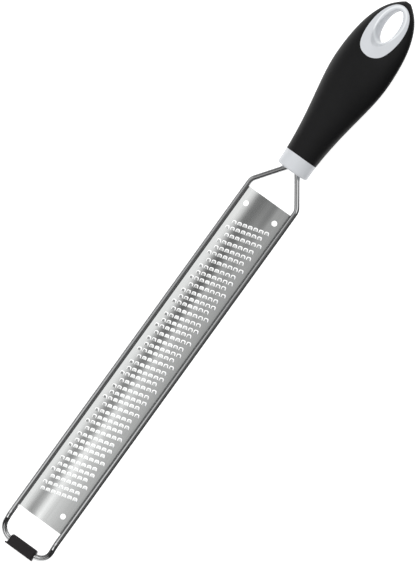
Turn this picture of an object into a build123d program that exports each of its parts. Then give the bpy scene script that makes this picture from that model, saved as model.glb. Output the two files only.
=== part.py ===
from build123d import *
from math import atan, cos, radians, sin, sqrt, tan
import os

os.makedirs("parts", exist_ok=True)

# Rasp zester: an arched toothed blade welded into a bent wire frame, with a
# rubber foot on the wire at the tip and a two-part moulded handle at the back.
# X runs across the tool, Y along it towards the handle and Z up to the teeth.
# The origin is under the middle of the tool, on the surface that it lies on.

# Wire frame
wire_diameter = 3.2
rail_spacing = 32.86
wire_height = 9.1
shoulder_length = 17.0
shoulder_bend_radius = 6.0
neck_spacing = 6.0
neck_bend_radius = 5.0
neck_depth = 1.2
tang_length = 70.0
tang_hook = 3.6
tang_hook_radius = 2.4
tip_dip_angle = 22.0
tip_dip_radius = 12.0
tip_slope_length = 11.6
tip_corner_radius = 8.0

# Blade
blade_length = 224.4
blade_crown = 2.0
blade_arch = 1.6
blade_flange = 1.5
blade_bend_radius = 1.2
sheet_thickness = 0.4
neck_gap = 21.2
tip_gap = 19.0
fixing_hole_diameter = 3.35
fixing_hole_spacing = 20.6
fixing_hole_inset = 9.0

# Teeth, in slanting rows
tooth_width = 2.64
tooth_height = 2.1
tooth_corner = 0.6
tongue_width = 1.25
tongue_root_width = 2.05
slot_width = 0.62
tongue_lift = 0.45
tongue_root_sink = 0.05
tooth_pitch = 3.245
tooth_edge_margin = 3.9
row_slant = 15.46
row_pitch = 4.22
wide_row_pitch = 4.403
wide_rows = 8
row_margin = 19.06

# Rows come in cycles of four, each moved across and along by shares of the two pitches
row_shift_shares = ((0.125, 0.0), (-0.425, 0.08), (0.35, 0.034), (-0.21, -0.027))

# Handle
handle_length = 117.2
handle_width = 36.1
handle_depth = 25.6
handle_tilt = 4.2
handle_drop = 0.8
collar_length = 10.0
collar_bulge = 1.2
collar_round = 1.2
butt_round = 0.8
grip_thickness = 2.6

# Sections along the handle: shares of its length, its half width and its half depth
handle_section_shares = (
    (0.0, 0.555, 0.648),
    (0.07, 0.561, 0.695),
    (0.15, 0.597, 0.748),
    (0.30, 0.727, 0.850),
    (0.46, 0.910, 0.950),
    (0.54, 0.979, 0.985),
    (0.62, 1.0, 0.980),
    (0.70, 0.977, 0.903),
    (0.76, 0.935, 0.800),
    (0.88, 0.728, 0.550),
    (0.95, 0.458, 0.385),
    (0.975, 0.300, 0.295),
    (0.99, 0.185, 0.190),
    (1.0, 0.090, 0.100),
)
spine_section_shares = ((0.06, 0.566, 0.69), (0.27, 0.689, 0.83), (0.54, 0.979, 0.97), (0.74, 0.95, 0.78))
spine_corner_share = 0.6

# Eyelet and hang hole
eyelet_width = 21.0
eyelet_length = 34.9
eyelet_end_gap = 2.9
hang_hole_width = 9.4
hang_hole_length = 20.9
hang_hole_flare = 5.2
hang_hole_round = 1.0
hang_hole_shift = 3.45

# One side of the eyelet's egg outline: shares of its half length and half width
eyelet_outline_shares = (
    (-0.95, 0.390),
    (-0.82, 0.670),
    (-0.60, 0.860),
    (-0.32, 0.965),
    (0.0, 1.0),
    (0.32, 0.947),
    (0.60, 0.800),
    (0.82, 0.572),
    (0.95, 0.312),
)

# Foot
foot_width = 18.1
sole_width = 16.3
foot_depth = 6.8
foot_top = 1.3
foot_round = 2.0
foot_heel_round = 1.2
toe_lip_width = 19.3
toe_lip_height = 1.2
toe_lip_depth = 1.0

moulding_clearance = 0.05
overrun = 5.0

# Places along the tool, worked out from the foot's outer face to the butt
tilt = radians(handle_tilt)
foot_face_y = -(foot_depth / 2 + tip_gap + blade_length + neck_gap + handle_length * cos(tilt)) / 2
crossbar_y = foot_face_y + foot_depth / 2
blade_tip_y = crossbar_y + tip_gap
blade_end_y = blade_tip_y + blade_length
collar_y = blade_end_y + neck_gap
crossbar_z = wire_height - tip_slope_length * tan(radians(tip_dip_angle))

# The handle's section plane looks along its axis; its deck plane looks down on it
handle_plane = Plane(
    origin=(0, collar_y, wire_height - handle_drop),
    x_dir=(1, 0, 0),
    z_dir=(0, cos(tilt), sin(tilt)),
)


def handle_point(across, along):
    """A point beside the handle's axis, measured along it from the collar's face."""
    return handle_plane.from_local_coords(Vector(across, 0, along))


def deck_plane(along):
    """The plane through the handle's axis that its top view is drawn on."""
    return Plane(origin=handle_point(0, along), x_dir=(1, 0, 0), z_dir=(0, -sin(tilt), cos(tilt)))


# Half of the wire's route, from its hooked end inside the handle to the tip
half_route = [
    handle_point(neck_spacing / 2 + tang_hook, tang_length),
    handle_point(neck_spacing / 2, tang_length),
    handle_point(neck_spacing / 2, neck_depth),
    Vector(rail_spacing / 2, collar_y - shoulder_length, wire_height),
    Vector(rail_spacing / 2, crossbar_y + tip_slope_length, wire_height),
    Vector(rail_spacing / 2, crossbar_y, crossbar_z),
]
half_radii = [tang_hook_radius, neck_bend_radius, shoulder_bend_radius, tip_dip_radius, tip_corner_radius]
route = half_route + [Vector(-p.X, p.Y, p.Z) for p in reversed(half_route)]
with BuildLine() as wire_line:
    FilletPolyline(*route, radius=half_radii + half_radii[::-1])


def bent_rod(rod_radius):
    """A round rod that follows the wire's route."""
    with BuildPart() as rod:
        with BuildSketch(Plane(origin=wire_line.line @ 0, z_dir=wire_line.line % 0)):
            Circle(rod_radius)
        sweep(path=wire_line.line)
    return rod.part


with BuildPart() as frame_wire:
    add(bent_rod(wire_diameter / 2))
wire_room = bent_rod(wire_diameter / 2 + moulding_clearance)

# Blade: the sheet lies between the rails, with its edges turned down against them
blade_width = rail_spacing - wire_diameter
arch_radius = ((blade_width / 2) ** 2 + blade_arch ** 2) / (2 * blade_arch)
blade_end_plane = Plane(origin=(0, blade_end_y, wire_height), x_dir=(1, 0, 0), z_dir=(0, -1, 0))


def under_arch(inset, floor_z):
    """The area under the arch's skin, drawn inside it by an inset and down to floor_z."""
    half = blade_width / 2 - inset
    edge_z = blade_crown - blade_arch - inset
    with BuildSketch() as area:
        with BuildLine():
            Line((-half, floor_z), (-half, edge_z))
            ThreePointArc((-half, edge_z), (0, blade_crown - inset), (half, edge_z))
            Polyline((half, edge_z), (half, floor_z), (-half, floor_z))
        make_face()
        fillet(area.vertices().group_by(Axis.Y)[-1], blade_bend_radius - inset)
    return area.sketch


slant = radians(row_slant)
toothed_length = blade_length - 2 * row_margin - wide_rows * wide_row_pitch
row_count = 1 + wide_rows + round(toothed_length / row_pitch)
side_columns = int((blade_width / 2 - tooth_edge_margin) / tooth_pitch)


def row_y(row):
    """Where a row of teeth crosses the middle of the blade."""
    wide = min(row, wide_rows)
    return blade_end_y - row_margin - wide * wide_row_pitch - (row - wide) * row_pitch


def tooth_place(row, column):
    """The plane that touches the blade's skin at one tooth, with its y square to the row."""
    across_share, along_share = row_shift_shares[row % len(row_shift_shares)]
    x = (column + across_share) * tooth_pitch
    y = row_y(row) + along_share * row_pitch + x * tan(slant)
    rise = sqrt(arch_radius ** 2 - x ** 2)
    lean_sin, lean_cos = x / arch_radius, rise / arch_radius
    return Plane(
        origin=(x, y, wire_height + blade_crown - arch_radius + rise),
        x_dir=(cos(slant) * lean_cos, sin(slant), -cos(slant) * lean_sin),
        z_dir=(lean_sin, 0, lean_cos),
    )


def plane_above(row):
    """The upright plane beside a row, half a pitch nearer to the handle."""
    return Plane(
        origin=(0, row_y(row) + row_pitch / 2, 0),
        x_dir=(cos(slant), sin(slant), 0),
        z_dir=(-sin(slant), cos(slant), 0),
    )


# One tooth: a hooded slot frees a tongue that is rooted towards the tip and
# bent up, so that its cutting edge faces the handle
root_y = -tooth_height / 2
edge_y = tooth_height / 2 - slot_width
tongue_outline = (
    (-tongue_root_width / 2, root_y),
    (tongue_root_width / 2, root_y),
    (tongue_width / 2, edge_y),
    (-tongue_width / 2, edge_y),
)
tongue_angle = atan((tongue_lift + tongue_root_sink) / (edge_y - root_y))
with BuildPart() as slot_tool:
    with BuildSketch(Plane.XY.offset(-2 * sheet_thickness)) as slot_face:
        Rectangle(tooth_width, tooth_height)
        chamfer(slot_face.vertices().group_by(Axis.Y)[-1], tooth_corner)
        with BuildLine():
            Polyline(*tongue_outline, close=True)
        make_face(mode=Mode.SUBTRACT)
    extrude(amount=3 * sheet_thickness)
with BuildPart() as raised_tongue:
    with BuildSketch(Plane.XY.offset(-sheet_thickness / 2)):
        with BuildLine():
            Polyline(*tongue_outline, close=True)
        make_face()
    extrude(amount=sheet_thickness / 2 + tongue_lift)
    tongue_top = Plane((0, root_y, -tongue_root_sink), (1, 0, 0), (0, -sin(tongue_angle), cos(tongue_angle)))
    split(bisect_by=tongue_top, keep=Keep.BOTTOM)

with BuildPart() as sheet:
    with BuildSketch(blade_end_plane):
        add(under_arch(0, -blade_flange))
        add(under_arch(sheet_thickness, -blade_flange - overrun), mode=Mode.SUBTRACT)
    extrude(amount=blade_length)
    with BuildSketch(Plane.XY.offset(wire_height)):
        with Locations((0, blade_end_y - fixing_hole_inset), (0, blade_tip_y + fixing_hole_inset)):
            with GridLocations(fixing_hole_spacing, 0, 2, 1):
                Circle(fixing_hole_diameter / 2)
    extrude(amount=blade_crown + overrun, both=True, mode=Mode.SUBTRACT)


def toothed_strip(first_row, end_row):
    """The stretch of the sheet that carries the rows from one up to another, with their teeth."""
    places = [
        tooth_place(row, column)
        for row in range(first_row, min(end_row, row_count))
        for column in range(-side_columns, side_columns + 1)
    ]
    with BuildPart() as strip:
        add(sheet.part)
        if first_row > 0:
            split(bisect_by=plane_above(first_row), keep=Keep.BOTTOM)
        if end_row < row_count:
            split(bisect_by=plane_above(end_row), keep=Keep.TOP)
        with Locations(*places):
            add(slot_tool.part, mode=Mode.SUBTRACT)
        with Locations(*places):
            add(raised_tongue.part)
    return strip.part


# The sheet is cut cycle by cycle, and the stretches make one blade again
cycle = len(row_shift_shares)
with BuildPart() as blade:
    add([toothed_strip(row, row + cycle) for row in range(0, row_count, cycle)])

# Handle: one outer form, shared by the hard core and the soft grip over it
with BuildPart() as handle_form:
    for along_share, width_share, depth_share in handle_section_shares:
        with BuildSketch(handle_plane.offset(along_share * handle_length)):
            Ellipse(width_share * handle_width / 2, depth_share * handle_depth / 2)
    loft()
    fillet(handle_form.edges().sort_by(Axis.Y)[0], collar_round)
    fillet(handle_form.edges().sort_by(Axis.Y)[-1], butt_round)

with BuildPart() as collar_block:
    with BuildSketch(deck_plane(0)):
        with BuildLine():
            Polyline(
                (-handle_width / 2, collar_length - collar_bulge),
                (-handle_width / 2, -overrun),
                (handle_width / 2, -overrun),
                (handle_width / 2, collar_length - collar_bulge),
            )
            ThreePointArc(
                (handle_width / 2, collar_length - collar_bulge),
                (0, collar_length),
                (-handle_width / 2, collar_length - collar_bulge),
            )
        make_face()
    extrude(amount=handle_depth, both=True)

eyelet_along = handle_length - eyelet_end_gap - eyelet_length / 2
eyelet_side = [(w * eyelet_width / 2, l * eyelet_length / 2) for l, w in eyelet_outline_shares]
with BuildPart() as eyelet_block:
    with BuildSketch(deck_plane(eyelet_along)):
        with BuildLine():
            Spline(
                (0, -eyelet_length / 2),
                *eyelet_side,
                (0, eyelet_length / 2),
                *[(-x, y) for x, y in reversed(eyelet_side)],
                periodic=True,
            )
        make_face()
    extrude(amount=handle_depth, both=True)

# The core's hidden spine joins the collar to the eyelet and carries the wire's ends
with BuildPart() as spine:
    for along_share, width_share, depth_share in spine_section_shares:
        half_width = width_share * handle_width / 2 - grip_thickness
        half_depth = depth_share * handle_depth / 2 - grip_thickness
        with BuildSketch(handle_plane.offset(along_share * handle_length)) as section:
            Rectangle(2 * half_width, 2 * half_depth)
            chamfer(section.vertices(), spine_corner_share * half_depth)
    loft(ruled=True)

with BuildPart() as core_form:
    add(collar_block.part)
    add(eyelet_block.part)
    add(handle_form.part, mode=Mode.INTERSECT)
    add(spine.part)

# The hang hole narrows from both faces to its middle, and its rims are rounded
with BuildPart() as hang_hole:
    hole_plane = deck_plane(eyelet_along + hang_hole_shift)
    for height_share, flare_share in ((-0.5, 1.0), (0.0, 0.0), (0.5, 1.0)):
        with BuildSketch(hole_plane.offset(height_share * handle_depth)):
            flare = flare_share * hang_hole_flare
            Ellipse(hang_hole_width / 2 + flare, hang_hole_length / 2 + flare)
    loft()

with BuildPart() as handle_core:
    add(core_form.part)
    add(hang_hole.part, mode=Mode.SUBTRACT)
    fillet(handle_core.edges(Select.LAST).filter_by(GeomType.LINE, reverse=True), hang_hole_round)
    add(wire_room, mode=Mode.SUBTRACT)

with BuildPart() as grip:
    add(handle_form.part)
    add(core_form.part, mode=Mode.SUBTRACT)

# Foot: a rubber block moulded round the crossbar, narrower at its sole, with a lip along the toe
foot_height = crossbar_z + wire_diameter / 2 + foot_top
with BuildPart() as foot:
    for height, width in ((0, sole_width), (foot_height, foot_width)):
        with BuildSketch(Plane.XY.offset(height)):
            with Locations((0, crossbar_y)):
                Rectangle(width, foot_depth)
    loft()
    heel = foot.faces().sort_by(Axis.Y)[-1]
    fillet(heel.edges().sort_by(Axis.Z)[-1], foot_round)
    fillet(foot.faces().sort_by(Axis.Y)[-1].edges().filter_by(Axis.X, reverse=True), foot_heel_round)
    with BuildSketch(Plane.XY.offset(foot_height - toe_lip_height)):
        with Locations((0, foot_face_y + toe_lip_depth / 2)):
            Rectangle(toe_lip_width, toe_lip_depth)
    extrude(amount=toe_lip_height)
    add(wire_room, mode=Mode.SUBTRACT)

frame_wire.part.label = "frame_wire"
blade.part.label = "blade"
handle_core.part.label = "handle_core"
grip.part.label = "grip"
foot.part.label = "foot"
export_step(frame_wire.part, "parts/frame_wire.step")
export_step(blade.part, "parts/blade.step")
export_step(handle_core.part, "parts/handle_core.step")
export_step(grip.part, "parts/grip.step")
export_step(foot.part, "parts/foot.step")
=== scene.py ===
from math import asin, cos, exp, pi, radians, sin, sqrt, tan

import bpy
from bpy.props import FloatProperty, FloatVectorProperty, IntProperty, PointerProperty
from mathutils import Matrix, Vector
from mathutils.geometry import delaunay_2d_cdt


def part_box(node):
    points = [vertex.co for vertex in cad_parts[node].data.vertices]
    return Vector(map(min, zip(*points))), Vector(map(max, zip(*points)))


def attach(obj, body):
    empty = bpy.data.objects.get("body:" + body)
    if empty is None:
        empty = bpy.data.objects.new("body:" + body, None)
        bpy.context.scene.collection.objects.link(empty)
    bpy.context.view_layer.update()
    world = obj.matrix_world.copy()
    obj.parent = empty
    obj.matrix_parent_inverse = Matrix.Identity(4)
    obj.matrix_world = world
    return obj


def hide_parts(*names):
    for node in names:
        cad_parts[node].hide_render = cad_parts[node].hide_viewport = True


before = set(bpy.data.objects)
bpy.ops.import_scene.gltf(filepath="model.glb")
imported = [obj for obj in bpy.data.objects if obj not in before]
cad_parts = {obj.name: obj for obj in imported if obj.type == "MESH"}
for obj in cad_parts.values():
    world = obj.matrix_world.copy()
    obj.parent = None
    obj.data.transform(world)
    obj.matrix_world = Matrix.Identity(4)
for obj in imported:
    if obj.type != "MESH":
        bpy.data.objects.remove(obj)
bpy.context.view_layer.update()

bl_info = {
    "name": "Rasp Zester",
    "version": (1, 0, 0),
    "blender": (4, 5, 0),
    "location": "3D View > Sidebar > Zester",
    "description": "Makes the toothed blade of a rasp zester, finishes its pieces and sets its stage",
    "category": "Add Mesh",
}

# Boxes of the CAD model that the new pieces and the stage are set against
blade_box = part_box("blade")

# Rows of teeth come in cycles, each moved across and along by shares of the two pitches
ROW_SHIFT_SHARES = ((0.125, 0.0), (-0.425, 0.08), (0.35, 0.034), (-0.21, -0.027))

# The hang hole's middle lies this far behind the blade's end at the handle
HANG_HOLE_RUN = 0.1217


def length(name, description, default):
    """A length property in metres."""
    return FloatProperty(
        name=name, description=description, default=default, unit="LENGTH", min=0.0, precision=5
    )


def fraction(name, description, default):
    """A property from 0 to 1."""
    return FloatProperty(
        name=name, description=description, default=default, subtype="FACTOR", min=0.0, max=1.0
    )


def degrees(name, description, default):
    """An angle property, with its default in degrees."""
    return FloatProperty(name=name, description=description, default=radians(default), subtype="ANGLE")


def watts(name, description, default):
    """A lamp's power."""
    return FloatProperty(name=name, description=description, default=default, min=0.0, unit="POWER")


def color(name, description, default):
    """A color property."""
    return FloatVectorProperty(
        name=name, description=description, default=default, subtype="COLOR", size=3, min=0.0, max=1.0
    )


class ZesterBladeSizes(bpy.types.PropertyGroup):
    """Sizes of the toothed sheet."""

    sheet_thickness: length("Sheet thickness", "Thickness of the steel sheet", 0.0004)
    crown_height: length("Crown height", "Height of the arch's top over the surface the tool lies on", 0.0111)
    arch_rise: length("Arch rise", "Rise of the arch from its edges to its middle", 0.0016)
    bend_radius: length("Bend radius", "Outer radius of the turned-down edges", 0.0004)
    tooth_width: length("Tooth width", "Width of one tooth's hooded slot", 0.00264)
    tooth_height: length("Tooth height", "Length of one tooth's hooded slot along the blade", 0.0021)
    hood_radius: length("Hood radius", "Corner radius of the hooded slot", 0.0008)
    tongue_width: length("Tongue width", "Width of the tongue's cutting edge", 0.00125)
    tongue_root_width: length("Tongue root width", "Width of the tongue at its root", 0.00205)
    tongue_corner: length("Tongue corner", "Corner radius of the cutting edge", 0.0002)
    tongue_lift: length("Tongue lift", "Height of the cutting edge over the sheet", 0.00045)
    slot_width: length("Slot width", "Width of the slot in front of the cutting edge", 0.00062)
    tooth_pitch: length("Tooth pitch", "Spacing of the teeth across the blade", 0.003245)
    tooth_edge_margin: length(
        "Tooth edge margin", "Room kept between the teeth and the blade's edges", 0.0039
    )
    row_slant: degrees("Row slant", "Slant of the rows of teeth", 15.46)
    row_pitch: length("Row pitch", "Spacing of the rows along the blade", 0.00422)
    wide_row_pitch: length("Wide row pitch", "Spacing of the first rows at the handle's end", 0.004403)
    wide_rows: IntProperty(name="Wide rows", description="Number of the wider row spacings", default=8, min=0)
    row_margin: length("Row margin", "Distance from the blade's ends to the first and last rows", 0.01906)
    hole_diameter: length("Hole diameter", "Diameter of the round holes", 0.00335)
    hole_spacing: length("Hole spacing", "Distance between the two round holes at the handle's end", 0.0206)
    hole_inset: length("Hole inset", "Distance from the blade's ends to the round holes", 0.009)


class ZesterFinish(bpy.types.PropertyGroup):
    """Colors and finishes of the pieces."""

    sheet_color: color("Sheet color", "Color of the rolled steel sheet", (0.66, 0.67, 0.665))
    wire_color: color("Wire color", "Color of the polished wire", (0.62, 0.625, 0.63))
    core_color: color("Core color", "Color of the collar and the eyelet", (0.68, 0.70, 0.73))
    grip_color: color("Grip color", "Color of the soft grip", (0.0065, 0.0065, 0.007))
    foot_color: color("Foot color", "Color of the rubber foot", (0.018, 0.0155, 0.017))
    sheet_roughness: fraction("Sheet roughness", "Roughness of the rolled sheet", 0.13)
    wire_roughness: fraction("Wire roughness", "Roughness of the polished wire", 0.09)


class ZesterStage(bpy.types.PropertyGroup):
    """Camera, light and floor."""

    floor_color: color("Floor color", "Color of the plain floor", (0.8, 0.8, 0.8))
    world_strength: FloatProperty(
        name="Sky strength", description="Strength of the plain sky", default=0.55, min=0.0
    )
    key_power: watts("Key power", "Power of the large soft lamp", 7.0)
    fill_power: watts("Fill power", "Power of the fill lamp", 2.0)
    view_roll: degrees("View roll", "Angle by which the tool is seen from its right", 14.0)
    view_slant: degrees("View slant", "Slant of the tool in the picture", 35.815)
    view_height: length("View height", "Height of the picture's frame at the tool", 0.32178)
    camera_distance: length("Camera distance", "Distance from the camera to the tool", 9.0)


# Steel sheet


class ArchedSkin:
    """The blade's upper skin. Flat places on it are (t, y): t along the bent sheet, y along the tool."""

    def __init__(self, sizes):
        self.low_z = blade_box[0].z
        self.half_width = blade_box[1].x
        self.bend = sizes.bend_radius
        self.radius = (self.half_width ** 2 + sizes.arch_rise ** 2) / (2 * sizes.arch_rise)
        self.centre_z = sizes.crown_height - self.radius
        self.bend_x = self.half_width - self.bend
        self.bend_z = self.centre_z + sqrt((self.radius - self.bend) ** 2 - self.bend_x ** 2)
        self.turn = asin(self.bend_x / (self.radius - self.bend))
        self.arch_t = self.radius * self.turn
        self.bend_t = self.arch_t + self.bend * (pi / 2 - self.turn)
        self.edge_t = self.bend_t + self.bend_z - self.low_z

    def place(self, t, y):
        """The point on the skin, its tangent across and its normal."""
        side = 1.0 if t > 0 else -1.0
        run = abs(t)
        if run <= self.arch_t:
            angle = t / self.radius
            x, z = self.radius * sin(angle), self.centre_z + self.radius * cos(angle)
        elif run <= self.bend_t:
            angle = side * (self.turn + (run - self.arch_t) / self.bend)
            x, z = side * self.bend_x + self.bend * sin(angle), self.bend_z + self.bend * cos(angle)
        else:
            angle = side * pi / 2
            x, z = side * self.half_width, self.bend_z - (run - self.bend_t)
        return Vector((x, y, z)), Vector((cos(angle), 0, -sin(angle))), Vector((sin(angle), 0, cos(angle)))


class FlatPattern:
    """The sheet laid flat, with its cut-outs and how far each point is pressed up."""

    def __init__(self):
        self.points, self.rises, self.edges, self.cutouts = [], [], [], []

    def add(self, t, y, rise=0.0, slope=(0.0, 0.0)):
        """Adds a point and returns its number."""
        self.points.append(Vector((t, y)))
        self.rises.append((rise, slope))
        return len(self.points) - 1

    def add_hole(self, t, y, hole_radius, steps=40):
        """Cuts a round hole."""
        turns = [2 * pi * i / steps for i in range(steps)]
        self.cutouts.append([self.add(t + hole_radius * cos(a), y + hole_radius * sin(a)) for a in turns])


def corner(centre, radius, start, steps=4):
    """Points round a quarter corner, from a start angle on."""
    turns = [start + pi / 2 * i / steps for i in range(steps + 1)]
    return [(centre[0] + radius * cos(a), centre[1] + radius * sin(a)) for a in turns]


def pressed(run, reach, lift):
    """Rise and slope of a tongue at a run from its root, with a soft bend at the root."""
    bend = reach / 6
    steepness = lift / (reach - bend / 2)
    if run < bend:
        return steepness * run ** 2 / (2 * bend), steepness * run / bend
    return steepness * (run - bend / 2), steepness


def add_tooth(pattern, sizes, t, y):
    """Cuts a hooded slot at a flat place and presses up the tongue that it frees."""
    half_width, half_height = sizes.tooth_width / 2, sizes.tooth_height / 2
    half_tongue, half_root = sizes.tongue_width / 2, sizes.tongue_root_width / 2
    edge = half_height - sizes.slot_width
    reach = edge + half_height
    c, s = cos(sizes.row_slant), sin(sizes.row_slant)

    def put(point, rise=0.0, steepness=0.0):
        px, py = point
        return pattern.add(t + c * px - s * py, y + s * px + c * py, rise, (-s * steepness, c * steepness))

    r = sizes.hood_radius
    hood = [(half_width, -half_height), (half_width, -half_height / 3)]
    hood += corner((half_width - r, half_height - r), r, 0)
    hood += corner((r - half_width, half_height - r), r, pi / 2)
    hood += [(-half_width, -half_height / 3), (-half_width, -half_height)]
    hood_points = [put(p) for p in hood]
    # Stations of the tongue: share of its reach, and how far the corner pulls its side in
    r = sizes.tongue_corner
    stations = [(share * reach, 0.0) for share in (0.0, 0.08, 0.17, 0.4, 0.7)]
    stations += [(reach - r, 0.0), (reach - 0.3 * r, 0.3 * r), (reach, r)]
    left, right = [], []
    for run, pull in stations:
        rise, steepness = pressed(run, reach, sizes.tongue_lift)
        half = half_root + (half_tongue - half_root) * run / reach - pull
        left.append(put((-half, run - half_height), rise, steepness))
        right.append(put((half, run - half_height), rise, steepness))
    pattern.cutouts.append(hood_points + left + right[::-1])
    root = [put((half_root * share, -half_height)) for share in (0.5, 0.0, -0.5)]
    root = [right[0]] + root + [left[0]]
    pattern.edges += list(zip(root, root[1:])) + list(zip(left[1:5], right[1:5]))


def tooth_places(sizes, skin):
    """Flat places of the teeth, row by row from the handle's end."""
    low_y, high_y = blade_box[0].y, blade_box[1].y
    toothed = high_y - low_y - 2 * sizes.row_margin - sizes.wide_rows * sizes.wide_row_pitch
    rows = 1 + sizes.wide_rows + round(toothed / sizes.row_pitch)
    side_columns = int((skin.half_width - sizes.tooth_edge_margin) / sizes.tooth_pitch)
    for row in range(rows):
        wide = min(row, sizes.wide_rows)
        row_y = high_y - sizes.row_margin - wide * sizes.wide_row_pitch - (row - wide) * sizes.row_pitch
        across, along = ROW_SHIFT_SHARES[row % len(ROW_SHIFT_SHARES)]
        for column in range(-side_columns, side_columns + 1):
            x = (column + across) * sizes.tooth_pitch
            y = row_y + along * sizes.row_pitch + x * tan(sizes.row_slant)
            yield skin.radius * asin(x / skin.radius), y


def flat_blade(sizes, skin):
    """The blade's flat pattern: its rim, its holes and teeth, and a loose net of points between them."""
    pattern = FlatPattern()
    low_y, high_y = blade_box[0].y, blade_box[1].y
    lengths = 90
    rows = [low_y + (high_y - low_y) * i / lengths for i in range(lengths + 1)]
    rim = [pattern.add(skin.arch_t, y) for y in rows] + [pattern.add(-skin.arch_t, y) for y in reversed(rows)]
    pattern.edges += list(zip(rim, rim[1:] + rim[:1]))
    teeth = list(tooth_places(sizes, skin))
    # Two holes at the handle's end, and one on the right at the tip
    hole_t = skin.radius * asin(sizes.hole_spacing / 2 / skin.radius)
    back_y, tip_y = high_y - sizes.hole_inset, low_y + sizes.hole_inset
    holes = [(side * hole_t, y) for side, y in ((-1, back_y), (1, back_y), (1, tip_y))]
    for t, y in teeth:
        add_tooth(pattern, sizes, t, y)
    for t, y in holes:
        pattern.add_hole(t, y, sizes.hole_diameter / 2)
    clear = 0.75 * sizes.tooth_width
    columns = 12
    for i in range(1, columns):
        t = skin.arch_t * (2 * i / columns - 1)
        for y in rows[1:-1]:
            near = [p for p in teeth + holes if abs(p[0] - t) < clear and abs(p[1] - y) < clear]
            if not near:
                pattern.add(t, y)
    return pattern, rows


def blade_mesh(sizes):
    """The whole blade as a closed mesh with true normals: two skins, and walls round every edge."""
    skin = ArchedSkin(sizes)
    pattern, rows = flat_blade(sizes, skin)
    hull_triangles, merge_distance = 0, 1e-8
    points, _, faces, from_points, _, from_cutouts = delaunay_2d_cdt(
        pattern.points, pattern.edges, pattern.cutouts, hull_triangles, merge_distance
    )
    flat = [(p.x, p.y) + pattern.rises[sources[0]] if sources else (p.x, p.y, 0.0, (0.0, 0.0))
            for p, sources in zip(points, from_points)]
    faces = [list(f) for f, cut in zip(faces, from_cutouts) if not cut]
    # The bends and the turned-down edges carry on from the rim in straight strips
    number = {source: i for i, sources in enumerate(from_points) for source in sources}
    strips = 5
    runs = [skin.arch_t + (skin.bend_t - skin.arch_t) * i / strips for i in range(1, strips + 1)]
    runs.append(skin.edge_t)
    count = len(rows)
    for side in (1, -1):
        rim_order = range(count) if side > 0 else range(2 * count - 1, count - 1, -1)
        inner = [number[i] for i in rim_order]
        for run in runs:
            outer = list(range(len(flat), len(flat) + count))
            flat += [(side * run, y, 0.0, (0.0, 0.0)) for y in rows]
            for i in range(count - 1):
                quad = [inner[i], outer[i], outer[i + 1], inner[i + 1]]
                faces.append(quad if side > 0 else quad[::-1])
            inner = outer
    upper, lower, normals = [], [], []
    for t, y, rise, (slope_t, slope_y) in flat:
        point, tangent, normal = skin.place(t, y)
        tilted = (normal - slope_t * tangent - slope_y * Vector((0, 1, 0))).normalized()
        point = point + rise * normal
        upper.append(point)
        lower.append(point - sizes.sheet_thickness * tilted)
        normals.append(tilted)
    total = len(flat)
    sides = {(a, b) for f in faces for a, b in zip(f, f[1:] + f[:1])}
    walls = [(a, a + total, b + total, b) for a, b in sides if (b, a) not in sides]
    walls.sort()
    mesh = bpy.data.meshes.new("toothed_blade")
    mesh.from_pydata(upper + lower, [], faces + [[i + total for i in reversed(f)] for f in faces] + walls)
    skin_faces = 2 * len(faces)
    on_skin = [i < skin_faces for i in range(len(mesh.polygons))]
    mesh.polygons.foreach_set("use_smooth", on_skin)
    mesh.polygons.foreach_set("material_index", [0 if is_skin else 1 for is_skin in on_skin])
    loops = []
    for polygon in mesh.polygons:
        for v in polygon.vertices:
            if polygon.index >= skin_faces:
                loops.append(polygon.normal.copy())
            else:
                loops.append(normals[v] if v < total else -normals[v - total])
    mesh.normals_split_custom_set(loops)
    mesh.validate()
    return mesh


# Shader groups


def shader_group(name, inputs, outputs):
    """A new shader node group with float sockets: (group, its input node, its output node)."""
    group = bpy.data.node_groups.new(name, "ShaderNodeTree")
    for socket_name, default in inputs:
        socket = group.interface.new_socket(socket_name, in_out="INPUT", socket_type="NodeSocketFloat")
        socket.default_value = default
    for socket_name in outputs:
        group.interface.new_socket(socket_name, in_out="OUTPUT", socket_type="NodeSocketFloat")
    return group, group.nodes.new("NodeGroupInput"), group.nodes.new("NodeGroupOutput")


def math_node(tree, operation, *values):
    """A math node fed by numbers or sockets, and its result."""
    node = tree.nodes.new("ShaderNodeMath")
    node.operation = operation
    for socket, value in zip(node.inputs, values):
        if isinstance(value, (int, float)):
            socket.default_value = value
        else:
            tree.links.new(value, socket)
    return node.outputs[0]


def noise_node(tree, vector, detail=3.0, roughness=0.5):
    """A noise texture on a vector socket that is scaled already, and its value."""
    node = tree.nodes.new("ShaderNodeTexNoise")
    node.inputs["Scale"].default_value = 1.0
    node.inputs["Detail"].default_value = detail
    node.inputs["Roughness"].default_value = roughness
    tree.links.new(vector, node.inputs["Vector"])
    return node.outputs[0]


def scaled_place(group, per_metre):
    """The place on the piece, scaled by a socket."""
    coords = group.nodes.new("ShaderNodeTexCoord")
    scaled = group.nodes.new("ShaderNodeVectorMath")
    scaled.operation = "SCALE"
    group.links.new(coords.outputs["Object"], scaled.inputs[0])
    group.links.new(per_metre, scaled.inputs["Scale"])
    return scaled.outputs[0]


def put_mask(group, value, made):
    """Puts out a value as the group's mask, kept from 0 to 1."""
    limited = group.nodes.new("ShaderNodeClamp")
    group.links.new(value, limited.inputs[0])
    group.links.new(limited.outputs[0], made.inputs["Mask"])


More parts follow.
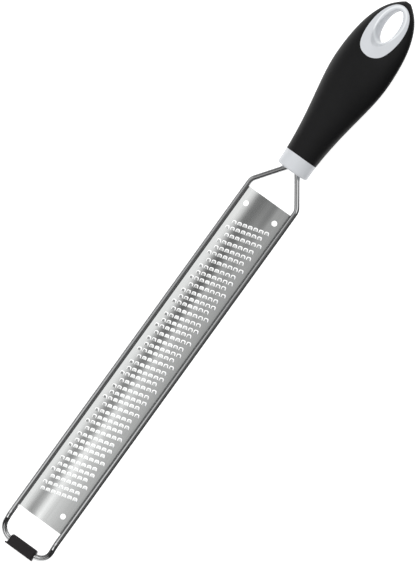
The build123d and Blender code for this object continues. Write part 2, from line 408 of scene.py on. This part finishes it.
def rolling_grain_group():
    """Fine lines along Y, as rolling and drawing leave in steel: a height and a slow streak."""
    group, given, made = shader_group(
        "Rolling Grain", (("Lines Per Metre", 9000.0), ("Line Length", 0.012)), ("Height", "Streak")
    )
    coords = group.nodes.new("ShaderNodeTexCoord")
    parts = group.nodes.new("ShaderNodeSeparateXYZ")
    group.links.new(coords.outputs["Object"], parts.inputs[0])
    for output, share in (("Height", 1.0), ("Streak", 0.12)):
        across = math_node(group, "MULTIPLY", given.outputs["Lines Per Metre"], share)
        along = math_node(group, "DIVIDE", share, given.outputs["Line Length"])
        joined = group.nodes.new("ShaderNodeCombineXYZ")
        group.links.new(math_node(group, "MULTIPLY", parts.outputs[0], across), joined.inputs[0])
        group.links.new(math_node(group, "MULTIPLY", parts.outputs[1], along), joined.inputs[1])
        group.links.new(math_node(group, "MULTIPLY", parts.outputs[2], across), joined.inputs[2])
        group.links.new(noise_node(group, joined.outputs[0]), made.inputs[output])
    return group


def handling_group():
    """Soft patches that handling and wiping leave: a mask from 0 to 1."""
    group, given, made = shader_group(
        "Handling Marks", (("Patches Per Metre", 60.0), ("Contrast", 2.0)), ("Mask",)
    )
    place = scaled_place(group, given.outputs["Patches Per Metre"])
    middle = 0.5
    centred = math_node(group, "SUBTRACT", noise_node(group, place, detail=4.0, roughness=0.6), middle)
    put_mask(group, math_node(group, "MULTIPLY_ADD", centred, given.outputs["Contrast"], middle), made)
    return group


def moulded_skin_group():
    """The fine even texture of a moulded surface: a height."""
    group, given, made = shader_group("Moulded Skin", (("Grains Per Metre", 2500.0),), ("Height",))
    place = scaled_place(group, given.outputs["Grains Per Metre"])
    group.links.new(noise_node(group, place, detail=2.0, roughness=0.55), made.inputs["Height"])
    return group


def rim_highlight_group():
    """A painted highlight round the rim of an oval hole that is seen along Z: a mask from 0 to 1, for lengths
    in metres.
    """
    group, given, made = shader_group(
        "Rim Highlight",
        (("Hole Y", 0.1756), ("Half Width", 0.0073), ("Half Length", 0.012), ("Band Share", 0.1)),
        ("Mask",),
    )
    coords = group.nodes.new("ShaderNodeTexCoord")
    parts = group.nodes.new("ShaderNodeSeparateXYZ")
    group.links.new(coords.outputs["Object"], parts.inputs[0])
    across = math_node(group, "DIVIDE", parts.outputs[0], given.outputs["Half Width"])
    along = math_node(group, "SUBTRACT", parts.outputs[1], given.outputs["Hole Y"])
    along = math_node(group, "DIVIDE", along, given.outputs["Half Length"])
    squares = math_node(group, "ADD", math_node(group, "POWER", math_node(group, "ABSOLUTE", across), 2.0),
                        math_node(group, "POWER", math_node(group, "ABSOLUTE", along), 2.0))
    off = math_node(group, "ABSOLUTE", math_node(group, "SUBTRACT", math_node(group, "SQRT", squares), 1.0))
    nearness = math_node(group, "SUBTRACT", 1.0, math_node(group, "DIVIDE", off, given.outputs["Band Share"]))
    put_mask(group, nearness, made)
    return group


def shared_group(name):
    """A shader group by name, made when it is first asked for."""
    makers = {
        "Rolling Grain": rolling_grain_group,
        "Handling Marks": handling_group,
        "Moulded Skin": moulded_skin_group,
        "Rim Highlight": rim_highlight_group,
    }
    return bpy.data.node_groups.get(name) or makers[name]()


def group_node(tree, name, **values):
    """A shared group placed in a material with its own values, spaces in names written as underscores."""
    node = tree.nodes.new("ShaderNodeGroup")
    node.node_tree = shared_group(name)
    for key, value in values.items():
        node.inputs[key.replace("_", " ")].default_value = value
    return node


# Materials


def new_material(name):
    """A node material with a Principled shader: (material, node tree, shader)."""
    material = bpy.data.materials.new(name)
    material.use_nodes = True
    tree = material.node_tree
    return material, tree, tree.nodes["Principled BSDF"]


def blend_colors(tree, mask, first, second):
    """A mix of two colors by a mask socket."""
    node = tree.nodes.new("ShaderNodeMix")
    node.data_type = "RGBA"
    node.inputs[6].default_value = (*first, 1.0)
    node.inputs[7].default_value = (*second, 1.0)
    tree.links.new(mask, node.inputs[0])
    return node.outputs[2]


def blend_values(tree, mask, first, second):
    """A value between two limits by a mask socket."""
    node = tree.nodes.new("ShaderNodeMapRange")
    node.inputs["To Min"].default_value = first
    node.inputs["To Max"].default_value = second
    tree.links.new(mask, node.inputs["Value"])
    return node.outputs[0]


def bump(tree, shader, height, distance):
    """Feeds a height to the shader's normal."""
    node = tree.nodes.new("ShaderNodeBump")
    node.inputs["Distance"].default_value = distance
    tree.links.new(height, node.inputs["Height"])
    tree.links.new(node.outputs[0], shader.inputs["Normal"])


def shade(base, factor):
    """A color made darker or lighter by a factor."""
    return tuple(min(1.0, c * factor) for c in base)


def steel_material(name, base, roughness, lines_per_metre, line_length, grain_depth, edge_tint=1.0):
    """Bare stainless steel with its drawn grain, slow streaks and wiping marks."""
    material, tree, shader = new_material(name)
    grain = group_node(tree, "Rolling Grain", Lines_Per_Metre=lines_per_metre, Line_Length=line_length)
    marks = group_node(tree, "Handling Marks", Patches_Per_Metre=45.0, Contrast=2.2)
    shader.inputs["Metallic"].default_value = 1.0
    shader.inputs["Specular Tint"].default_value = (edge_tint, edge_tint, edge_tint, 1.0)
    tint = blend_colors(tree, grain.outputs["Streak"], shade(base, 0.94), shade(base, 1.06))
    gloss = blend_values(tree, marks.outputs["Mask"], roughness * 0.8, roughness * 1.25)
    tree.links.new(tint, shader.inputs["Base Color"])
    tree.links.new(gloss, shader.inputs["Roughness"])
    bump(tree, shader, grain.outputs["Height"], grain_depth)
    return material


def moulded_material(name, base, roughness, grains_per_metre, grain_depth, specular, patch_shade):
    """A moulded plastic or rubber with a fine skin and patches that handling has polished."""
    material, tree, shader = new_material(name)
    skin = group_node(tree, "Moulded Skin", Grains_Per_Metre=grains_per_metre)
    marks = group_node(tree, "Handling Marks", Patches_Per_Metre=70.0, Contrast=1.6)
    shader.inputs["Specular IOR Level"].default_value = specular
    tint = blend_colors(tree, marks.outputs["Mask"], shade(base, 2 - patch_shade), shade(base, patch_shade))
    gloss = blend_values(tree, marks.outputs["Mask"], roughness - 0.04, roughness + 0.04)
    tree.links.new(tint, shader.inputs["Base Color"])
    tree.links.new(gloss, shader.inputs["Roughness"])
    bump(tree, shader, skin.outputs["Height"], grain_depth)
    return material


def core_material(base):
    """The hard light moulding, with a painted highlight that lightens the hang hole's rim."""
    material = moulded_material(
        "core_plastic",
        base,
        roughness=0.24,
        grains_per_metre=1800.0,
        grain_depth=0.000002,
        specular=0.5,
        patch_shade=0.97,
    )
    tree = material.node_tree
    shader = tree.nodes["Principled BSDF"]
    # Painted highlight: the hang hole's rim is given a lighter colour where its rounded edge would catch the
    # light
    ring = group_node(tree, "Rim Highlight", Hole_Y=blade_box[1].y + HANG_HOLE_RUN)
    painted_highlight_lift = 1.4
    lighter = tree.nodes.new("ShaderNodeMix")
    lighter.data_type = "RGBA"
    tree.links.new(ring.outputs["Mask"], lighter.inputs[0])
    tree.links.new(shader.inputs["Base Color"].links[0].from_socket, lighter.inputs[6])
    lighter.inputs[7].default_value = (*shade(base, painted_highlight_lift), 1.0)
    tree.links.new(lighter.outputs[2], shader.inputs["Base Color"])
    return material


def finish_node(name, material, sharp_angle):
    """Gives a CAD piece its material and smooth shading that breaks at its sharp edges."""
    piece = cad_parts[name]
    mesh = piece.data
    mesh.materials.clear()
    mesh.materials.append(material)
    mesh.polygons.foreach_set("use_smooth", [True] * len(mesh.polygons))
    if mesh.has_custom_normals:
        with bpy.context.temp_override(object=piece, active_object=piece):
            bpy.ops.mesh.customdata_custom_splitnormals_clear()
    mesh.set_sharp_from_angle(angle=sharp_angle)


class ZESTER_OT_blade(bpy.types.Operator):
    """Makes the arched blade with its pressed teeth in place of the CAD blade"""

    bl_idname = "zester.make_blade"
    bl_label = "Make Blade"

    def execute(self, context):
        sizes, finish = context.scene.zester_blade, context.scene.zester_finish
        blade = bpy.data.objects.new("toothed_blade", blade_mesh(sizes))
        context.scene.collection.objects.link(blade)
        rolled = steel_material(
            "rolled_sheet",
            finish.sheet_color,
            finish.sheet_roughness,
            lines_per_metre=9000.0,
            line_length=0.012,
            grain_depth=0.0000012,
        )
        etched = steel_material(
            "etched_edge",
            shade(finish.sheet_color, 1.05),
            roughness=0.3,
            lines_per_metre=14000.0,
            line_length=0.0004,
            grain_depth=0.000004,
        )
        for material in (rolled, etched):
            blade.data.materials.append(material)
        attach(blade, "root")
        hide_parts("blade")
        return {"FINISHED"}


class ZESTER_OT_wire(bpy.types.Operator):
    """Finishes the bent wire frame as polished drawn wire"""

    bl_idname = "zester.finish_wire"
    bl_label = "Finish Wire Frame"

    def execute(self, context):
        finish = context.scene.zester_finish
        polished = steel_material(
            "polished_wire",
            finish.wire_color,
            finish.wire_roughness,
            lines_per_metre=5000.0,
            line_length=0.02,
            grain_depth=0.0000008,
            edge_tint=0.2,
        )
        finish_node("frame_wire", polished, sharp_angle=radians(50))
        return {"FINISHED"}


class ZESTER_OT_handle(bpy.types.Operator):
    """Finishes the hard core and the soft grip of the handle"""

    bl_idname = "zester.finish_handle"
    bl_label = "Finish Handle"

    def execute(self, context):
        finish = context.scene.zester_finish
        finish_node("handle_core", core_material(finish.core_color), sharp_angle=radians(35))
        soft = moulded_material(
            "soft_grip",
            finish.grip_color,
            roughness=0.55,
            grains_per_metre=2600.0,
            grain_depth=0.00001,
            specular=0.3,
            patch_shade=0.85,
        )
        finish_node("grip", soft, sharp_angle=radians(35))
        return {"FINISHED"}


class ZESTER_OT_foot(bpy.types.Operator):
    """Finishes the rubber foot"""

    bl_idname = "zester.finish_foot"
    bl_label = "Finish Foot"

    def execute(self, context):
        finish = context.scene.zester_finish
        rubber = moulded_material(
            "foot_rubber",
            finish.foot_color,
            roughness=0.6,
            grains_per_metre=2200.0,
            grain_depth=0.000015,
            specular=0.3,
            patch_shade=0.85,
        )
        finish_node("foot", rubber, sharp_angle=radians(35))
        return {"FINISHED"}


# Stage

# Glow of black cloth, in the vault's dark strip, on the flag and on the sheet of painted shadow under the
# tool
BLACK_GLOW = 0.03
# Places along Y where the vault's end panel starts, dims, brightens again and ends
PANEL_START, PANEL_DIM, PANEL_BRIGHT, PANEL_END = -0.27, -0.36, -0.385, -0.62
# Angle at which the bright end panel reaches nearest to the tool
PANEL_PEAK = -8


def smooth_step(start, end, value):
    """A soft change from 0 at the start to 1 at the end."""
    share = min(1.0, max(0.0, (value - start) / (end - start)))
    return share * share * (3 - 2 * share)


def soft_band(middle, reach, value):
    """A soft band that is 1 in its middle and fades on both sides."""
    return exp(-(((value - middle) / reach) ** 2))


def vault_glow(angle, y):
    """The vault's brightness at an angle from the zenith, in degrees towards +X, and a place along Y."""
    if y < PANEL_END:
        # A dark strip behind the end panel, and plain cloth beyond it
        return BLACK_GLOW + 0.42 * smooth_step(-0.88, -1.05, y)
    if y < PANEL_START:
        # The bright end panel that the raised tongues reflect, cut back at both sides
        edge = PANEL_BRIGHT - 0.0064 * abs(angle - PANEL_PEAK) - 0.05 * smooth_step(-16, -20, angle)
        panel = 1.5 if y < edge else 0.4 if y < PANEL_DIM else 1.1
        side_glow = 0.06
        return panel + (side_glow - panel) * max(smooth_step(18, 25, angle), smooth_step(-44, -52, angle))
    # Plain cloth that grows lighter towards the tip
    tip_share = 0.2 * smooth_step(0.05, 0.02, y) + 0.8 * min(1.0, max(0.0, (0.018 - y) / 0.17)) ** 1.3
    cloth = 0.24 + 0.42 * tip_share + 0.22 * tip_share * soft_band(-6, 7, angle)
    # A dark gap lies between the cloth and the soft box
    cloth -= 0.24 * smooth_step(0.0, 0.3, tip_share) * soft_band(-20 - 7 * tip_share ** 2, 6, angle)
    # A strip lamp along the tool, and a pale card on the right beside the handle
    strip = (0.05 + 0.73 * tip_share) * soft_band(-11 - 5 * tip_share ** 2, 4.0, angle)
    card = 0.24 * (1 - tip_share) * smooth_step(-3, -1, angle)
    # The right is dark beside the blade, and has a bright panel behind it, beside the handle
    right = 0.13 + smooth_step(0.1, 0.16, y) * (1 - smooth_step(50, 58, angle))
    level = cloth + strip + card
    level += (right - level) * smooth_step(10, 15, angle)
    # A soft box on the left, which fades towards the horizon and behind the handle's end
    box = smooth_step(-23.5 - 3 * tip_share, -32.5 - 3 * tip_share, angle)
    box_level = 1.18 - 1.05 * smooth_step(-42, -48, angle)
    behind_handle = 0.12
    box_level += (behind_handle - box_level) * smooth_step(0.19, 0.25, y)
    return level + (box_level - level) * box


def add_vault(radius=0.6, reach=1.2):
    """A half tunnel of reflector cloth over the tool, which only reflections show."""
    widest_angle, row_step, flag_height = 100, 0.02, 0.001
    angles = range(-widest_angle, widest_angle + 1)
    rows = [-2 * reach + row_step * i for i in range(int(3 * reach / row_step) + 1)]
    mesh = bpy.data.meshes.new("reflector_vault")
    points = [(radius * sin(radians(a)), y, radius * cos(radians(a))) for y in rows for a in angles]
    width = len(angles)
    faces = [
        (j * width + i, j * width + i + 1, (j + 1) * width + i + 1, (j + 1) * width + i)
        for j in range(len(rows) - 1)
        for i in range(width - 1)
    ]
    levels = [vault_glow(a, y) for y in rows for a in angles]
    # A black flag lies beside the tool on its right; a black sheet under the gap between the blade's tip and
    # the foot is painted shadow, the tool's shade on the floor as reflections see it
    flag_and_shadow_sheet = ((0.024, radius, -reach, reach), (-0.0165, 0.0165, -0.185, -0.172))
    for low_x, high_x, low_y, high_y in flag_and_shadow_sheet:
        first = len(points)
        corners = ((low_x, low_y), (high_x, low_y), (high_x, high_y), (low_x, high_y))
        points += [(x, y, flag_height) for x, y in corners]
        faces.append(tuple(range(first, first + len(corners))))
        levels += [BLACK_GLOW] * len(corners)
    mesh.from_pydata(points, [], faces)
    glow = mesh.attributes.new("glow", "FLOAT", "POINT")
    glow.data.foreach_set("value", levels)
    material = bpy.data.materials.new("reflector_cloth")
    material.use_nodes = True
    tree = material.node_tree
    tree.nodes.clear()
    level = tree.nodes.new("ShaderNodeAttribute")
    level.attribute_name = "glow"
    emission = tree.nodes.new("ShaderNodeEmission")
    output = tree.nodes.new("ShaderNodeOutputMaterial")
    tree.links.new(level.outputs["Fac"], emission.inputs["Strength"])
    tree.links.new(emission.outputs[0], output.inputs[0])
    mesh.materials.append(material)
    vault = bpy.data.objects.new("reflector_vault", mesh)
    bpy.context.scene.collection.objects.link(vault)
    for way in ("camera", "diffuse", "transmission", "volume_scatter", "shadow"):
        setattr(vault, "visible_" + way, False)


def add_floor(floor_color):
    """A large plain floor that cameras, metal and glass see as white, apart from the tool's shadow."""
    mesh = bpy.data.meshes.new("floor")
    half, floor_glow = 12.0, 0.72
    corners = [(-half, -half, 0), (half, -half, 0), (half, half, 0), (-half, half, 0)]
    mesh.from_pydata(corners, [], [(0, 1, 2, 3)])
    material = bpy.data.materials.new("plain_floor")
    material.use_nodes = True
    tree = material.node_tree
    tree.nodes.clear()
    path = tree.nodes.new("ShaderNodeLightPath")
    seen = math_node(tree, "ADD", path.outputs["Is Camera Ray"], path.outputs["Is Glossy Ray"])
    seen = math_node(tree, "ADD", seen, path.outputs["Is Transmission Ray"])
    seen = math_node(tree, "MINIMUM", seen, 1.0)
    diffuse = tree.nodes.new("ShaderNodeBsdfDiffuse")
    diffuse.inputs["Color"].default_value = (*floor_color, 1.0)
    emission = tree.nodes.new("ShaderNodeEmission")
    tree.links.new(math_node(tree, "MULTIPLY", seen, floor_glow), emission.inputs["Strength"])
    both = tree.nodes.new("ShaderNodeAddShader")
    output = tree.nodes.new("ShaderNodeOutputMaterial")
    tree.links.new(diffuse.outputs[0], both.inputs[0])
    tree.links.new(emission.outputs[0], both.inputs[1])
    tree.links.new(both.outputs[0], output.inputs[0])
    mesh.materials.append(material)
    floor = bpy.data.objects.new("floor", mesh)
    bpy.context.scene.collection.objects.link(floor)


def add_lamp(name, place, size, power, target):
    """A square soft lamp that faces a point."""
    data = bpy.data.lights.new(name, "AREA")
    data.shape = "SQUARE"
    data.size = size
    data.energy = power
    lamp = bpy.data.objects.new(name, data)
    lamp.location = place
    lamp.rotation_mode = "QUATERNION"
    lamp.rotation_quaternion = (target - lamp.location).to_track_quat("-Z", "Y")
    lamp.visible_glossy = False
    bpy.context.scene.collection.objects.link(lamp)


def add_camera(stage):
    """The photograph's camera: square to the tool's length, from its right side, with a long lens."""
    roll, slant = stage.view_roll, stage.view_slant
    towards = Vector((sin(roll), 0, cos(roll)))
    across, along = Vector((cos(roll), 0, -sin(roll))), Vector((0, 1, 0))
    right = cos(slant) * across + sin(slant) * along
    up = cos(slant) * along - sin(slant) * across
    # The picture's middle: how far it lies before the blade's end, over the floor and to the left
    before_end, over_floor, to_left = 0.05799, 0.0091, 0.0017
    middle = Vector((0, blade_box[1].y - before_end, over_floor)) - to_left * across
    data = bpy.data.cameras.new("camera")
    data.sensor_width = 36.0
    data.lens = data.sensor_width * stage.camera_distance / stage.view_height
    data.clip_start, data.clip_end = 0.1, 50.0
    camera = bpy.data.objects.new("camera", data)
    turned = Matrix((right, up, towards)).transposed().to_4x4()
    camera.matrix_world = Matrix.Translation(middle + stage.camera_distance * towards) @ turned
    bpy.context.scene.collection.objects.link(camera)
    bpy.context.scene.camera = camera


class ZESTER_OT_stage(bpy.types.Operator):
    """Sets the floor, the soft light and the photograph's camera"""

    bl_idname = "zester.set_stage"
    bl_label = "Set Stage"

    def execute(self, context):
        scene = context.scene
        stage = scene.zester_stage
        scene.view_settings.view_transform = "Standard"
        world = bpy.data.worlds.new("plain_sky")
        world.use_nodes = True
        sky = world.node_tree.nodes["Background"]
        sky.inputs["Color"].default_value = (1.0, 1.0, 1.0, 1.0)
        sky.inputs["Strength"].default_value = stage.world_strength
        scene.world = world
        add_floor(stage.floor_color)
        add_vault()
        aim = Vector((0, 0.02, 0.01))
        add_lamp("key_lamp", place=(-0.65, 0.35, 1.05), size=0.9, power=stage.key_power, target=aim)
        add_lamp("fill_lamp", place=(0.6, -0.1, 1.0), size=0.8, power=stage.fill_power, target=aim)
        add_camera(stage)
        return {"FINISHED"}


class ZESTER_PT_panel(bpy.types.Panel):
    """Lists the pieces and their sizes in the sidebar"""

    bl_idname = "ZESTER_PT_panel"
    bl_label = "Rasp Zester"
    bl_space_type = "VIEW_3D"
    bl_region_type = "UI"
    bl_category = "Zester"

    def draw(self, context):
        layout, scene = self.layout, context.scene
        for operator in OPERATORS:
            layout.operator(operator.bl_idname)
        groups = {"Blade": scene.zester_blade, "Finish": scene.zester_finish, "Stage": scene.zester_stage}
        for title, group in groups.items():
            box = layout.box()
            box.label(text=title)
            for name in group.__annotations__:
                box.prop(group, name)


PROPERTY_GROUPS = (ZesterBladeSizes, ZesterFinish, ZesterStage)
OPERATORS = (ZESTER_OT_blade, ZESTER_OT_wire, ZESTER_OT_handle, ZESTER_OT_foot, ZESTER_OT_stage)
CLASSES = (*PROPERTY_GROUPS, *OPERATORS, ZESTER_PT_panel)


def register():
    for cls in CLASSES:
        bpy.utils.register_class(cls)
    bpy.types.Scene.zester_blade = PointerProperty(type=ZesterBladeSizes)
    bpy.types.Scene.zester_finish = PointerProperty(type=ZesterFinish)
    bpy.types.Scene.zester_stage = PointerProperty(type=ZesterStage)


def unregister():
    del bpy.types.Scene.zester_stage
    del bpy.types.Scene.zester_finish
    del bpy.types.Scene.zester_blade
    for cls in reversed(CLASSES):
        bpy.utils.unregister_class(cls)


def main():
    register()
    bpy.ops.zester.make_blade()
    bpy.ops.zester.finish_wire()
    bpy.ops.zester.finish_handle()
    bpy.ops.zester.finish_foot()
    bpy.ops.zester.set_stage()


if __name__ == "__main__":
    main()
